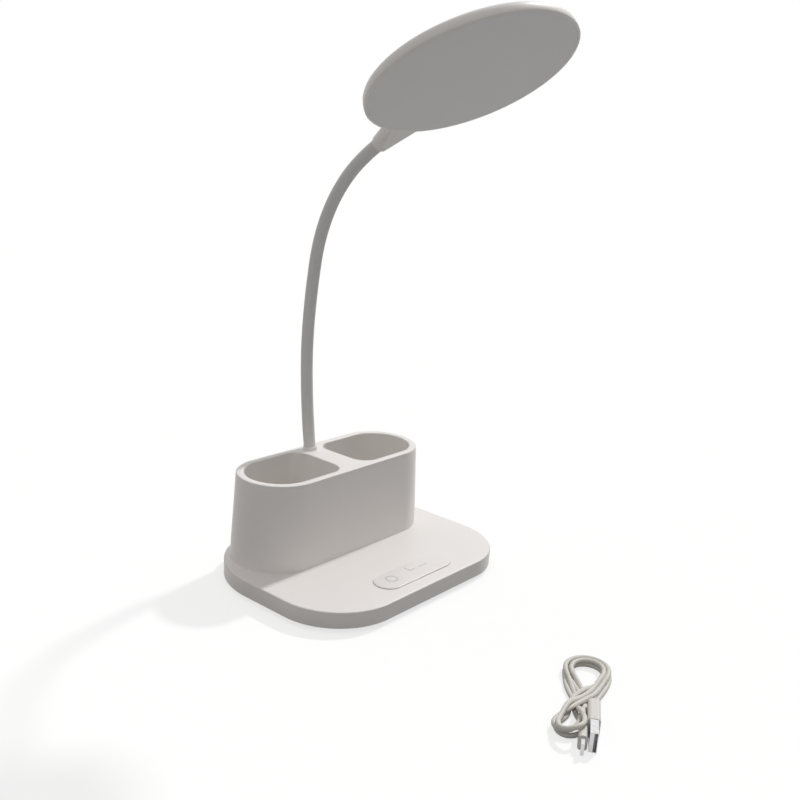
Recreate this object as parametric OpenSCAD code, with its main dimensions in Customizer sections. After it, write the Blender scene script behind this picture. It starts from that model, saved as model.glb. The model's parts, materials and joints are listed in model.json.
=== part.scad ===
// Desk lamp with a pen holder on its base: a flat base slab, a two-well holder over its rear half,
// a bendable neck and a thin round head, with its charging cable lying in front of the base.
// Frame: origin under the middle of the base on the table, +X right, -Y front, +Z up. Millimetres.

/* [Base] */
// Width of the base slab, left to right
base_w = 190; // [150:1:240]
// Depth of the base slab, front to back
base_d = 146; // [120:1:190]
// Corner radius in plan at the front
front_r = 47; // [20:1:55]
// Corner radius in plan at the back
back_r = 60; // [20:1:60]
// Height of the visible side band
side_h = 11.3; // [10:0.1:20]
// Shadow gap between the table and the side band
side_z = 3; // [2.5:0.1:5]
// Bevel along the slab's upper edge
edge_bevel = 1; // [0.4:0.1:1.5]
// Side wall of the housing
housing_wall = 2.5; // [1.5:0.1:3.5]
// Top wall of the housing
top_wall = 2.2; // [1.5:0.1:3]

/* [Bottom] */
// How far the bottom cover stands inside the side band
cover_inset = 4; // [3:0.5:8]
// Thickness of the bottom cover
cover_t = 2; // [1.6:0.1:3]
// Height of a rubber foot below the cover
foot_h = 1.5; // [1:0.1:2.4]
// Diameter of a rubber foot
foot_d = 14; // [8:1:20]
// Length of the steel ballast plate, left to right
ballast_w = 150; // [100:1:150]
// Thickness of the steel ballast plate
ballast_t = 4.5; // [2:0.1:4.5]

/* [Pen holder] */
// Distance between the centres of the holder's two round ends
holder_span = 100; // [70:1:110]
// Radius of the round ends at the rim
holder_top_r = 30; // [24:0.5:32]
// Radius of the round ends at the foot
holder_foot_r = 33; // [26:0.5:35]
// Height of the rim above the table
holder_top = 76; // [60:1:110]
// Distance from the slab's back edge to the holder's foot
holder_margin = 9; // [6:0.5:14]
// Width of the rim around the wells
rim_w = 5.5; // [4:0.1:7]
// Width of the bridge between the wells
bridge_w = 19.3; // [18:0.1:24]
// Corner radius of the wells beside the bridge
well_corner_r = 12; // [1:0.5:14]
// Bevel along the edges of the rim
rim_bevel = 0.7; // [0.3:0.1:1.2]

/* [Touch panel] */
// Length of the touch panel
panel_w = 72; // [50:1:90]
// Depth of the touch panel
panel_d = 21; // [14:0.5:26]
// Distance from the slab's front edge to the panel
panel_margin = 10; // [8:0.5:18]
// Height of the panel above the slab
panel_proud = 1; // [0:0.1:1.2]

/* [Neck] */
// Distance from the rim's back edge to the neck's middle
neck_margin = 8.5; // [8:0.5:12]
// Turn of the whole neck to the left
neck_turn = -6; // [-30:1:30]
// Lean of the neck at its foot, negative is backwards
neck_lean = -12.5; // [-15:0.5:10]
// Outer diameter of the rubber sleeve
sleeve_d = 8.8; // [8:0.1:11]
// Outer diameter of the steel gooseneck
core_d = 6; // [5:0.1:7]
// Diameter of the lead inside the neck
lead_d = 2.2; // [1.5:0.1:2.4]

/* [Head] */
// Diameter of the round head
head_d = 130.5; // [90:1:150]
// Thickness of the round head
head_t = 7.3; // [5:0.1:9]
// How far the head's rounded back edge reaches inwards
head_back_in = 3.5; // [1:0.5:6]
// Length of the socket between neck and head
socket_len = 23; // [14:0.5:28]
// Width of the socket where it meets the head
socket_w = 22; // [16:1:30]

/* [Charging cable] */
// Diameter of the cable
cable_d = 3; // [2.5:0.1:3.2]
// Length of the folded bundle
bundle_l = 95.5; // [90:0.5:120]
// Height of the folded bundle
bundle_h = 9.6; // [8:0.1:12]
// Radius of the bundle's wide end
wide_end_r = 15; // [12:0.5:18]
// Radius of the bundle's narrow end
narrow_end_r = 7.6; // [6:0.1:7.6]
// Place of the bundle's middle, left to right
bundle_x = -32; // [-120:1:120]
// Place of the bundle's middle, front to back
bundle_y = -208.5; // [-260:0.5:-160]
// Direction in which the plugs point
bundle_turn = 207.5; // [180:0.5:230]

/* [Hidden] */

$fn = 64;
eps = 0.01;
over = 1;            // how far a cutting shape runs past the face that it cuts
part_gap = 0.2;      // gap around a piece that drops into a recess
glide = 0.3;         // gap between two neck sections that turn on each other
screw_fit = 0.05;    // gap between a screw's shank and its pilot hole

white = [0.92, 0.91, 0.89];
pale = [0.95, 0.94, 0.92];
rubber_grey = [0.25, 0.25, 0.26];
steel = [0.72, 0.73, 0.75];
zinc = [0.62, 0.63, 0.65];
board_green = [0.10, 0.36, 0.22];
chip_black = [0.12, 0.12, 0.13];
lead_white = [0.85, 0.85, 0.85];

// Heights through the base
base_top = side_z + side_h;
cover_top = foot_h + cover_t;
inner_top = base_top - top_wall;
ledge_h = 2.5;
ledge_in = 8;
ledge_top = cover_top + ledge_h;
ballast_top = cover_top + ballast_t;

// Places from front to back
panel_y = base_d / 2 - panel_margin - panel_d / 2;
holder_y = base_d / 2 - holder_margin - holder_foot_r;
neck_y = holder_y + holder_top_r - neck_margin;
main_board_back = base_d / 2 - housing_wall - 0.5;
main_board_d = 24;
main_board_front = main_board_back - main_board_d;

// Screws that hold the cover
screw_r = 1.25;
screw_head_r = 2.6;
screw_head_h = 1.2;
boss_r = 3.5;
cover_screw_at = [
    [base_w / 2 - 51, -base_d / 2 + 13], [-base_w / 2 + 51, -base_d / 2 + 13],
    [base_w / 2 - 57, base_d / 2 - 13], [-base_w / 2 + 57, base_d / 2 - 13]
];

// Rubber feet: four near the corners and one in the middle
foot_sink = 0.7;
foot_at = [
    [base_w / 2 - 29, -base_d / 2 + 35], [-base_w / 2 + 29, -base_d / 2 + 35],
    [base_w / 2 - 33, base_d / 2 - 29], [-base_w / 2 + 33, base_d / 2 - 29], [0, 0]
];

// Battery on its tape, at the left behind the touch board
board_t = 1.2;
touch_board_size = [70, 19, board_t];
battery_size = [58, 32, 6];
battery_at = [-41, -panel_y + touch_board_size[1] / 2 + 5 + battery_size[1] / 2];
battery_back = battery_at[1] + battery_size[1] / 2;
tape_t = 0.5;
tape_inset = 4;

// Ballast plate between battery and main board, its pegs on the cover and the posts that hold it down
ballast_gap = 4;
ballast_d = main_board_front - battery_back - 2 * ballast_gap;
ballast_y = battery_back + ballast_gap + ballast_d / 2;
peg_r = 2;
peg_gap = 0.2;
peg_edge = [15, 4];
post_r = 4;
post_edge = [23, 5];
corners = [[-1, -1], [-1, 1], [1, -1], [1, 1]];
function on_ballast(c, edge) = [
    c[0] * (ballast_w / 2 - edge[0]), ballast_y + c[1] * (ballast_d / 2 - edge[1])
];
peg_at = [for (c = corners) on_ballast(c, peg_edge)];
post_at = [for (c = corners) on_ballast(c, post_edge)];

// Pen holder: outer skin, wells and the screw blocks inside its hollow middle
skin = 2.2;
well_wall = 1.8;
well_floor = 2;
top_plate = 2.5;
well_depth = 2 * (holder_top_r - rim_w);
well_l = holder_span / 2 + holder_top_r - rim_w - bridge_w / 2;
well_x = bridge_w / 2 + well_l / 2;
block_h = 20;
block_d = 9;
holder_screw_l = 14;
holder_screw_at = [[0, holder_y - 19], [0, holder_y + 3]];
holder_head_r = 2.8;
holder_head_h = 1.8;

// Touch panel and the board glued under it
panel_top = base_top + panel_proud;
panel_chamfer = 0.6;
panel_flange = 2.2;
flange_t = 1.2;
mark_depth = 0.35;
mark_w = 1.3;
ring_mark_at = [-21, 1];
ring_mark_r = 4.6;
arrow_mark_at = [-2, 1];
arrow_mark_l = 6.5;
dash_mark_at = [11.5, 1];
dash_mark_l = 9;
touch_board_z = inner_top - flange_t - board_t;

// Main board at the rear, with its socket in the back wall
main_board_w = 48;
main_board_top = ledge_top + board_t;
board_screw_at = [for (x = [-19, 19]) [x, main_board_front + 4]];
board_screw_r = 0.9;
board_screw_head_r = 1.8;
board_screw_head_h = 1;
board_post_r = 3;
socket_size = [7.5, 5.6, 2.6];
socket_wall = 0.4;
socket_floor = 1;
socket_back = base_d / 2 - 0.8;
socket_window = [8.6, 3.6];
connector_size = [6, 4.5, 3.5];
connector_x = 10;
connector_y = main_board_front + 3.2;
chip_at = [-12, main_board_back - 10];
chip_size = [6, 6, 1.2];
coil_at = [12, main_board_back - 10];
coil_r = 3;
coil_h = 3;

// Neck foot: a threaded stub with a collar, clamped to the bridge by a washer and a nut
stub_r = 4;
stub_l = 14;
stub_gap = 0.1;
stub_bore_r = 1.8;
collar_foot_r = sleeve_d / 2 + 0.9;
collar_top_r = sleeve_d / 2 + 0.7;
collar_h = 2.5;
collar_floor = 0.6;
washer_r = 5.8;
washer_t = 1;
nut_r = 5.2;
nut_t = 3;

// Neck: seven sections, each a length and the bend over that length, from the foot up
neck_l = [14, 42, 42, 42, 42, 42, 21.5];
neck_bend = [3.5, 5, 8, 5.5, 20.5, 21.5, 7.2];
sleeve_r = sleeve_d / 2;
core_r = core_d / 2;
core_bore_r = lead_d / 2 + 0.4;
lead_r = lead_d / 2;
ball_r = sleeve_r - 0.2;
cup_r = sleeve_r + glide;
cup_rim = 1.8;
lead_start = cup_r + 0.1;
lead_end = ball_r - 0.2;
core_tip = 9;
ferrule_r = core_r + 0.9;
lead_tip = socket_len + 1;
lead_space_l = lead_tip + 4;
neck_end = len(neck_l);

// Angle from the vertical, and place along and above the foot, at the start of section i
function neck_angle(i) = i == 0 ? neck_lean : neck_angle(i - 1) + neck_bend[i - 1];
function bend_r(i) = neck_l[i] * 180 / (PI * neck_bend[i]);
function chord(i) = 2 * bend_r(i) * sin(neck_bend[i] / 2);
function chord_angle(i) = neck_angle(i) + neck_bend[i] / 2;
function neck_rho(i) = i == 0 ? 0 : neck_rho(i - 1) + chord(i - 1) * sin(chord_angle(i - 1));
function neck_z(i) = i == 0 ? holder_top : neck_z(i - 1) + chord(i - 1) * cos(chord_angle(i - 1));

// Point at a distance along section i, and point straight on past the neck's upper end
function bend_to(i, length) = neck_bend[i] * length / neck_l[i];
function chord_to(i, length) = 2 * bend_r(i) * sin(bend_to(i, length) / 2);
function chord_angle_to(i, length) = neck_angle(i) + bend_to(i, length) / 2;
function rho_to(i, length) = neck_rho(i) + chord_to(i, length) * sin(chord_angle_to(i, length));
function z_to(i, length) = neck_z(i) + chord_to(i, length) * cos(chord_angle_to(i, length));
function at_rho(rho, z) = [rho * sin(neck_turn), neck_y - rho * cos(neck_turn), z];
function neck_point(i, length) = at_rho(rho_to(i, length), z_to(i, length));
function past_end(length) = at_rho(
    neck_rho(neck_end) + length * sin(neck_angle(neck_end)),
    neck_z(neck_end) + length * cos(neck_angle(neck_end))
);

// Head: shell, diffuser, board and light chips
head_r = head_d / 2;
head_wall = 1.2;
diffuser_t = 1.2;
diffuser_rim = 1.8;
ledge_ring = 2.2;
head_lip = 0.5;
head_side_h = 1.3;
head_arc_steps = 5;
led_board_t = 1;
led_size = [2.8, 3.5, 0.7];
led_rings = [[28, 12], [46, 24]];
tongue_size = [16, 1.7];
tongue_l = 14;
tongue_gap = 0.5;
head_wire_r = 0.45;
head_wire_gap = 0.2;
head_wire_x = 0.5;
socket_r = sleeve_r + 1.3;
socket_mouth_r = sleeve_r + 0.5;
socket_ring_z = 1.2;
socket_ring_h = 2.5;
socket_slice = 0.1;
socket_lap = 0.7 * head_back_in;    // how far the socket laps over the head's rounded edge

// Cable and plugs
tube_sides = 8;
cable_r = cable_d / 2;
usb_grip = [20, 12.5, 7];
usb_shell = [13.2, 12, 4.5];
lamp_grip = [11, 9, 5.2];
lamp_shell = [6.2, 6.9, 1.9];
usb_plug_at = [18, 6.9];
usb_plug_turn = 3;
lamp_plug_at = [39.5, 2.7];
lamp_plug_turn = 2;
plug_space = 0.3;
shell_wall = 0.4;
usb_slot = 1.9;
usb_floor = 1;
plug_gap = 0.3;
grip_r = 2;
wide_end_at = [-bundle_l / 2 + wide_end_r, 1.5];
narrow_end_at = [bundle_l / 2 - narrow_end_r, -5];
waist_at = [5, 0.75];
waist_half = 6.25;
tail_a_route = [
    [-16, 9, 1.9], [-8, 9, 2], [-1, 8.4, 2.6], [6, 7.4, 4], [12, 6.8, 5.4],
    [usb_plug_at[0] - plug_gap, usb_plug_at[1], usb_grip[1] / 2]
];
tail_b_route = [
    [21, -1.5, 3], [27, -0.4, 3.6], [33, 1.7, 4.2],
    [lamp_plug_at[0] - plug_gap, lamp_plug_at[1], lamp_grip[1] / 2]
];

// Leads inside the base: each point is an x, a share of the way from the lead's front end to its
// connector, and a z
thin_lead_r = 0.8;
lead_plug_y = connector_y - connector_size[1] / 2 - 0.45;
touch_lead_z = touch_board_z - thin_lead_r - 0.1;
battery_lead_start = battery_back + 0.6;
touch_lead_start = -panel_y + 5.5;
function laid(start_y, points) = [
    for (p = points) [p[0], start_y + (lead_plug_y - start_y) * p[1], p[2]]
];
battery_lead_route = laid(battery_lead_start, [
    [-36, 0, 8], [-35.5, 0.06, 9], [-34, 0.19, 9.4], [-28, 0.45, 9.5], [-18, 0.75, 9.4],
    [-11, 0.93, 9], [-connector_x, 1, 8.8]
]);
touch_lead_route = laid(touch_lead_start, [
    [30, 0, touch_lead_z], [32, 0.04, touch_lead_z], [35, 0.14, 8.8], [36, 0.31, 9], [32, 0.54, 9.5],
    [22, 0.8, 9.5], [12, 0.95, 9], [connector_x, 1, 8.8]
]);

// ---------------------------------------------------------------- shapes used by several pieces

// The base's plan outline, moved inwards by inset
module base_outline(inset = 0) {
    half_w = base_w / 2 - inset;
    half_d = base_d / 2 - inset;
    fr = front_r - inset;
    br = back_r - inset;
    front_y = -half_d + fr;
    back_y = half_d - br;
    translate([-half_w, front_y]) square([2 * half_w, back_y - front_y]);
    translate([-half_w + fr, -half_d]) square([2 * (half_w - fr), half_d]);
    translate([-half_w + br, 0]) square([2 * (half_w - br), half_d]);
    for (side = [-1, 1]) {
        translate([side * (half_w - fr), front_y]) circle(fr, $fn = 128);
        translate([side * (half_w - br), back_y]) circle(br, $fn = 128);
    }
}

// A layer as high as the bevel that narrows by the bevel all round
module bevel_layer() {
    half_w = base_w / 2;
    half_d = base_d / 2;
    front_y = -half_d + front_r;
    back_y = half_d - back_r;
    e = edge_bevel;
    translate([0, back_y, 0]) rotate([90, 0, 0]) linear_extrude(back_y - front_y)
        polygon([[-half_w, 0], [half_w, 0], [half_w - e, e], [-half_w + e, e]]);
    translate([-half_w + front_r, 0, 0]) rotate([90, 0, 90]) linear_extrude(2 * (half_w - front_r))
        polygon([[-half_d, 0], [0, 0], [0, e], [-half_d + e, e]]);
    translate([-half_w + back_r, 0, 0]) rotate([90, 0, 90]) linear_extrude(2 * (half_w - back_r))
        polygon([[0, 0], [half_d, 0], [half_d - e, e], [0, e]]);
    for (side = [-1, 1]) {
        translate([side * (half_w - front_r), front_y, 0])
            cylinder(h = e, r1 = front_r, r2 = front_r - e, $fn = 128);
        translate([side * (half_w - back_r), back_y, 0])
            cylinder(h = e, r1 = back_r, r2 = back_r - e, $fn = 128);
    }
}

// A flat shape with two round ends, l long and d across
module stadium(l, d) {
    square([l - d, d], center = true);
    for (side = [-1, 1]) translate([side * (l - d) / 2, 0]) circle(d / 2);
}

// The holder's tapered body with its surface moved inwards by inset, between two heights
module holder_body(inset, z0, z1) {
    slope = (holder_foot_r - holder_top_r) / (holder_top - base_top);
    r0 = holder_foot_r - inset - slope * (z0 - base_top);
    r1 = holder_foot_r - inset - slope * (z1 - base_top);
    for (side = [-1, 1]) translate([side * holder_span / 2, holder_y, z0])
        cylinder(h = z1 - z0, r1 = r0, r2 = r1, $fn = 128);
    translate([-holder_span / 2, holder_y, 0]) rotate([90, 0, 90]) linear_extrude(holder_span)
        polygon([[-r0, z0], [r0, z0], [r1, z1], [-r1, z1]]);
}

// The holder's rim: the top of its body, drawn in by the bevel
module rim_layer() {
    e = rim_bevel;
    slope = (holder_foot_r - holder_top_r) / (holder_top - base_top);
    r0 = holder_top_r + slope * e;
    r1 = holder_top_r - e;
    for (side = [-1, 1]) translate([side * holder_span / 2, holder_y, holder_top - e])
        cylinder(h = e, r1 = r0, r2 = r1, $fn = 128);
    translate([-holder_span / 2, holder_y, holder_top - e]) rotate([90, 0, 90]) linear_extrude(holder_span)
        polygon([[-r0, 0], [r0, 0], [r1, e], [-r1, e]]);
}

// The bevel along a well's upper edge, cut out above the well's own straight sides
module well_flare(side) {
    e = rim_bevel;
    outer_r = well_depth / 2;
    straight = outer_r - well_corner_r;
    corner_x = bridge_w / 2 + well_corner_r;
    end_x = holder_span / 2;
    mirror([side < 0 ? 1 : 0, 0]) translate([0, holder_y, holder_top - e]) {
        translate([end_x, 0]) cylinder(h = e, r1 = outer_r, r2 = outer_r + e, $fn = 96);
        for (y = [-1, 1]) translate([corner_x, y * straight])
            cylinder(h = e, r1 = well_corner_r, r2 = well_corner_r + e);
        translate([corner_x, 0, 0]) rotate([90, 0, 90]) linear_extrude(end_x - corner_x)
            polygon([[-outer_r, 0], [outer_r, 0], [outer_r + e, e], [-outer_r - e, e]]);
        translate([0, straight, 0]) rotate([90, 0, 0]) linear_extrude(2 * straight)
            polygon([[bridge_w / 2, 0], [corner_x, 0], [corner_x, e], [bridge_w / 2 - e, e]]);
    }
}

// One well of the holder in plan, grown outwards by grow; side is -1 left or 1 right
module well_outline(side, grow) {
    outer_r = well_depth / 2 + grow;
    inner_r = well_corner_r + grow;
    inner_x = bridge_w / 2 - grow;
    end_x = holder_span / 2;
    mirror([side < 0 ? 1 : 0, 0]) translate([0, holder_y]) {
        translate([end_x, 0]) circle(outer_r, $fn = 96);
        translate([inner_x + inner_r, -outer_r]) square([end_x - inner_x - inner_r, 2 * outer_r]);
        translate([inner_x, -outer_r + inner_r]) square([inner_r + eps, 2 * (outer_r - inner_r)]);
        for (y = [-1, 1]) translate([inner_x + inner_r, y * (outer_r - inner_r)]) circle(inner_r);
    }
}

// Puts children at the start of neck section i: +Z along the neck, -Y to the inside of its bend
module at_neck(i) {
    translate([0, neck_y, 0]) rotate([0, 0, neck_turn])
        translate([0, -neck_rho(i), neck_z(i)]) rotate([neck_angle(i), 0, 0]) children();
}

// A round bar of radius r along the bend of neck section i, going on past its end by tip
module neck_bar(i, r, tip = 0) {
    translate([0, -bend_r(i), 0]) rotate([90, 0, 90])
        rotate_extrude(angle = neck_bend[i] * (1 + tip / neck_l[i]), $fn = 256)
            translate([bend_r(i), 0]) circle(r);
}

// The space that the ball and its swing need at the lower end of a section
module cup_space() {
    sphere(cup_r, $fn = 96);
    translate([0, 0, -sleeve_d]) cylinder(h = sleeve_d + cup_rim, r = sleeve_d);
}

// Everything above the seat in the neck foot's collar
module above_collar_floor() {
    translate([-base_w / 2, -base_d / 2, holder_top + collar_floor]) cube([base_w, base_d, 2 * holder_top]);
}

// Puts children of the last neck section in the frame of its upper end
module in_last_section() {
    last = neck_end - 1;
    translate([0, -bend_r(last), 0]) rotate([-neck_bend[last], 0, 0])
        translate([0, bend_r(last), 0]) children();
}

// Puts children in the head's own frame: +Z out of its back, +Y towards the socket
module at_head() {
    at_neck(neck_end) translate([0, 0, socket_len + head_r]) rotate([-90, 0, 0]) children();
}

// Puts children in the cable bundle's frame: +X towards the plugs
module at_bundle() {
    translate([bundle_x, bundle_y, 0]) rotate([0, 0, bundle_turn]) children();
}

// Puts children at the back of a plug: +X towards its open end
module at_usb_plug() {
    at_bundle() translate(usb_plug_at) rotate([0, 0, usb_plug_turn]) children();
}

module at_lamp_plug() {
    at_bundle() translate(lamp_plug_at) rotate([0, 0, lamp_plug_turn]) children();
}

function unit(v) = v / norm(v);
function along(route, i) = unit(route[min(i + 1, len(route) - 1)] - route[max(i - 1, 0)]);
function side_of(t) = unit(cross(t, [0.02, 0.01, 1]));
function ring(route, i, r) = [
    for (k = [0 : tube_sides - 1])
        let (t = along(route, i), s = side_of(t), u = cross(s, t), a = 360 * k / tube_sides)
            route[i] + r * (cos(a) * s + sin(a) * u)
];

// A tube of radius r swept along a route of points
module tube(route, r) {
    n = tube_sides;
    last = (len(route) - 1) * n;
    points = [for (i = [0 : len(route) - 1]) each ring(route, i, r)];
    sides = [
        for (i = [0 : len(route) - 2], k = [0 : n - 1])
            let (a = i * n + k, b = i * n + (k + 1) % n)
                each [[a, a + n, b + n], [a, b + n, b]]
    ];
    start_cap = [for (k = [0 : n - 1]) k];
    end_cap = [for (k = [n - 1 : -1 : 0]) last + k];
    polyhedron(points, concat(sides, [start_cap, end_cap]));
}

// A plug's grip lying on its narrow edge along X, with its four long edges rounded
module grip_on_edge(size) {
    h = size[1];
    t = size[2];
    translate([0, 0, h / 2]) rotate([90, 0, 90]) linear_extrude(size[0]) {
        square([t - 2 * grip_r, h], center = true);
        square([t, h - 2 * grip_r], center = true);
        for (y = [-1, 1], z = [-1, 1])
            translate([y * (t / 2 - grip_r), z * (h / 2 - grip_r)]) circle(grip_r);
    }
}

// The room beside the folded cable in which a plug lies
module plug_room(size) {
    translate([-plug_space, -size[2] / 2 - plug_space, -over])
        cube([2 * size[0], 4 * size[2], size[1] + 2 * over]);
}

// A pan-head screw standing on its head at z = 0, with its shank upwards
module screw(head_r, head_h, r, l) {
    cylinder(h = head_h, r = head_r);
    cylinder(h = head_h + l, r = r);
}

// ---------------------------------------------------------------- base

module base_housing() {
    color(white) difference() {
        union() {
            difference() {
                union() {
                    translate([0, 0, side_z]) linear_extrude(side_h - edge_bevel) base_outline();
                    translate([0, 0, base_top - edge_bevel]) bevel_layer();
                }
                translate([0, 0, side_z - over]) linear_extrude(inner_top - side_z + over)
                    base_outline(housing_wall);
            }
            translate([0, 0, cover_top]) linear_extrude(ledge_h) difference() {
                base_outline(housing_wall - 0.1);
                base_outline(ledge_in);
            }
            for (p = cover_screw_at) translate([p[0], p[1], cover_top])
                cylinder(h = inner_top - cover_top + eps, r = boss_r);
            for (p = post_at) translate([p[0], p[1], ballast_top])
                cylinder(h = inner_top - ballast_top + eps, r = post_r);
        }
        for (p = cover_screw_at) translate([p[0], p[1], cover_top - over])
            cylinder(h = inner_top - cover_top, r = screw_r + screw_fit);
        for (p = holder_screw_at) translate([p[0], p[1], inner_top - over])
            cylinder(h = top_wall + 2 * over, r = screw_r + part_gap);
        translate([0, -panel_y, inner_top - over]) linear_extrude(top_wall + 2 * over)
            stadium(panel_w, panel_d);
        translate([0, neck_y, inner_top - over]) cylinder(h = top_wall + 2 * over, r = stub_r);
        translate([-socket_window[0] / 2, base_d / 2 - housing_wall - over,
                   main_board_top + socket_size[2] / 2 - socket_window[1] / 2])
            cube([socket_window[0], housing_wall + 2 * over, socket_window[1]]);
    }
}

module bottom_cover() {
    color(rubber_grey) difference() {
        union() {
            translate([0, 0, foot_h]) linear_extrude(cover_t) base_outline(cover_inset);
            for (p = peg_at) translate([p[0], p[1], cover_top - eps])
                cylinder(h = ballast_t - 0.5, r = peg_r);
            for (p = board_screw_at) translate([p[0], p[1], cover_top - eps])
                cylinder(h = ledge_h + eps, r = board_post_r);
        }
        for (p = cover_screw_at) translate([p[0], p[1], foot_h - over]) {
            cylinder(h = cover_t + 2 * over, r = screw_r + part_gap);
            cylinder(h = over + screw_head_h, r = screw_head_r + part_gap);
        }
        for (p = foot_at) translate([p[0], p[1], foot_h - over])
            cylinder(h = over + foot_sink, r = foot_d / 2 + part_gap);
        for (p = board_screw_at) translate([p[0], p[1], cover_top])
            cylinder(h = ledge_h + over, r = board_screw_r + screw_fit);
    }
}

module foot_pads() {
    color(rubber_grey) for (p = foot_at) translate([p[0], p[1], 0])
        cylinder(h = foot_h + foot_sink, r = foot_d / 2);
}

module cover_screws() {
    color(zinc) for (p = cover_screw_at) translate([p[0], p[1], foot_h])
        screw(screw_head_r, screw_head_h, screw_r, inner_top - foot_h - screw_head_h - over);
}

module ballast_plate() {
    color(steel) difference() {
        translate([-ballast_w / 2, ballast_y - ballast_d / 2, cover_top])
            cube([ballast_w, ballast_d, ballast_t]);
        for (p = peg_at) translate([p[0], p[1], 0]) cylinder(h = base_top, r = peg_r + peg_gap);
    }
}

module pen_holder() {
    color(white) difference() {
        union() {
            difference() {
                union() {
                    holder_body(0, base_top, holder_top - rim_bevel);
                    rim_layer();
                }
                difference() {
                    holder_body(skin, base_top - over, holder_top - top_plate);
                    translate([0, 0, base_top]) linear_extrude(holder_top - base_top)
                        for (side = [-1, 1]) well_outline(side, well_wall);
                }
            }
            for (p = holder_screw_at) translate([p[0] - bridge_w / 2, p[1] - block_d / 2, base_top])
                cube([bridge_w, block_d, block_h]);
        }
        translate([0, 0, base_top + well_floor]) linear_extrude(holder_top - base_top)
            for (side = [-1, 1]) well_outline(side, 0);
        for (side = [-1, 1]) well_flare(side);
        for (p = holder_screw_at) translate([p[0], p[1], base_top - over])
            cylinder(h = over + holder_screw_l, r = screw_r + screw_fit);
        translate([0, neck_y, holder_top - top_plate - over])
            cylinder(h = top_plate + 2 * over, r = stub_r + stub_gap);
    }
}

module holder_screws() {
    color(zinc) for (p = holder_screw_at) translate([p[0], p[1], inner_top - holder_head_h])
        screw(holder_head_r, holder_head_h, screw_r, top_wall + holder_screw_l - over);
}

// The panel's plain bevelled top drops into the slab; its flange is glued under the top wall
module touch_panel() {
    w = panel_w - 2 * part_gap;
    d = panel_d - 2 * part_gap;
    color(pale) translate([0, -panel_y, 0]) difference() {
        union() {
            translate([0, 0, inner_top - flange_t]) linear_extrude(flange_t)
                stadium(panel_w + 2 * panel_flange, panel_d + 2 * panel_flange);
            translate([0, 0, inner_top - eps]) linear_extrude(panel_top - panel_chamfer - inner_top + eps)
                stadium(w, d);
            translate([0, 0, panel_top - panel_chamfer]) panel_bevel(w, d);
        }
        translate([0, 0, panel_top - mark_depth]) linear_extrude(over) touch_marks();
    }
}

module panel_bevel(l, d) {
    e = panel_chamfer;
    half = (l - d) / 2;
    for (side = [-1, 1]) translate([side * half, 0, 0]) cylinder(h = e, r1 = d / 2, r2 = d / 2 - e);
    translate([-half, 0, 0]) rotate([90, 0, 90]) linear_extrude(2 * half)
        polygon([[-d / 2, 0], [d / 2, 0], [d / 2 - e, e], [-d / 2 + e, e]]);
}

// Three plain marks: a ring, an arrow head and a dash
module touch_marks() {
    translate(ring_mark_at) difference() {
        circle(ring_mark_r);
        circle(ring_mark_r - mark_w);
    }
    translate(arrow_mark_at) for (turn = [0, 90])
        rotate(turn) translate([-mark_w / 2, -mark_w / 2]) square([arrow_mark_l, mark_w]);
    translate(dash_mark_at) square([dash_mark_l, mark_w], center = true);
}

module touch_board() {
    color(board_green) translate([0, -panel_y, touch_board_z + board_t / 2])
        cube(touch_board_size, center = true);
}

module battery_cell() {
    color([0.35, 0.42, 0.62])
        translate([battery_at[0], battery_at[1], cover_top + tape_t + battery_size[2] / 2])
            cube(battery_size, center = true);
}

module battery_tape() {
    color(rubber_grey) translate([battery_at[0], battery_at[1], cover_top + tape_t / 2])
        cube([battery_size[0] - 2 * tape_inset, battery_size[1] - 2 * tape_inset, tape_t], center = true);
}

module main_board() {
    color(board_green) difference() {
        translate([-main_board_w / 2, main_board_front, ledge_top])
            cube([main_board_w, main_board_d, board_t]);
        for (p = board_screw_at) translate([p[0], p[1], 0])
            cylinder(h = base_top, r = board_screw_r + part_gap);
    }
}

module usb_socket() {
    wall = socket_wall;
    color(steel) translate([-socket_size[0] / 2, socket_back - socket_size[1], main_board_top])
        difference() {
            cube(socket_size);
            translate([wall, socket_floor, wall])
                cube([socket_size[0] - 2 * wall, socket_size[1], socket_size[2] - 2 * wall]);
        }
}

// Charger chip, coil and the two lead connectors
module board_parts() {
    color(chip_black) {
        translate([chip_at[0], chip_at[1], main_board_top + chip_size[2] / 2])
            cube(chip_size, center = true);
        translate([coil_at[0], coil_at[1], main_board_top]) cylinder(h = coil_h, r = coil_r);
        for (side = [-1, 1])
            translate([side * connector_x, connector_y, main_board_top + connector_size[2] / 2])
                cube(connector_size, center = true);
    }
}

module board_screws() {
    color(zinc) for (p = board_screw_at)
        translate([p[0], p[1], main_board_top + board_screw_head_h]) mirror([0, 0, 1])
            screw(board_screw_head_r, board_screw_head_h, board_screw_r, board_t + ledge_h - 0.4);
}

module battery_lead() {
    color([0.75, 0.12, 0.1]) tube(battery_lead_route, thin_lead_r);
}

module touch_lead() {
    color(chip_black) tube(touch_lead_route, thin_lead_r);
}

// ---------------------------------------------------------------- neck

module neck_foot() {
    color(zinc) difference() {
        translate([0, neck_y, 0]) {
            translate([0, 0, holder_top - stub_l]) cylinder(h = stub_l + eps, r = stub_r);
            translate([0, 0, holder_top]) cylinder(h = collar_h, r1 = collar_foot_r, r2 = collar_top_r);
        }
        intersection() {
            at_neck(0) neck_bar(0, sleeve_r + screw_fit);
            above_collar_floor();
        }
        translate([0, neck_y, 0]) cylinder(h = 2 * holder_top, r = stub_bore_r);
    }
}

module neck_washer() {
    color(steel) translate([0, neck_y, holder_top - top_plate - washer_t]) difference() {
        cylinder(h = washer_t, r = washer_r);
        translate([0, 0, -over]) cylinder(h = washer_t + 2 * over, r = stub_r + stub_gap);
    }
}

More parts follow.
